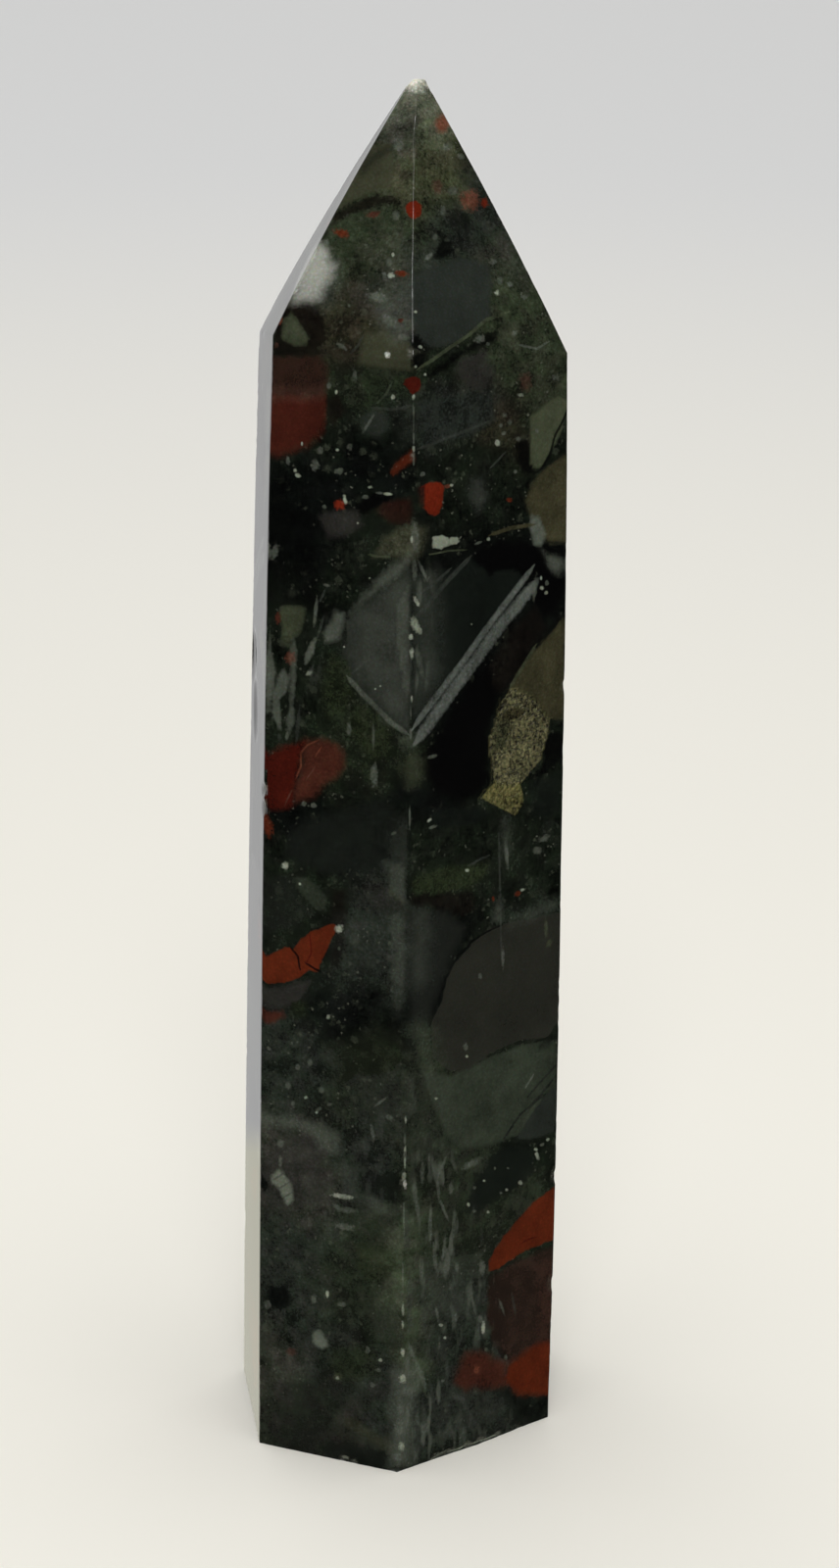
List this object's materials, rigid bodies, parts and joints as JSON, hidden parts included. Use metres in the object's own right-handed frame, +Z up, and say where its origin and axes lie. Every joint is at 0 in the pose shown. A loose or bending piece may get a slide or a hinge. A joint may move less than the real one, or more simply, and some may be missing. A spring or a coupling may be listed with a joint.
{
  "type": "bloodstone tower",
  "caption": "Polished six-sided bloodstone tower with a faceted point, standing upright on its flat cut base.",
  "frame": {"origin": "on the flat base, under the point", "axes": "+Z up the stone towards its point; -Y out of the edge between the two front faces"},
  "size_m": [0.0331, 0.0348, 0.1399],
  "materials": {
    "polished_bloodstone": "polished"
  },
  "bodies": {
    "root": {"tower": "polished_bloodstone"}
  },
  "joints": []
}
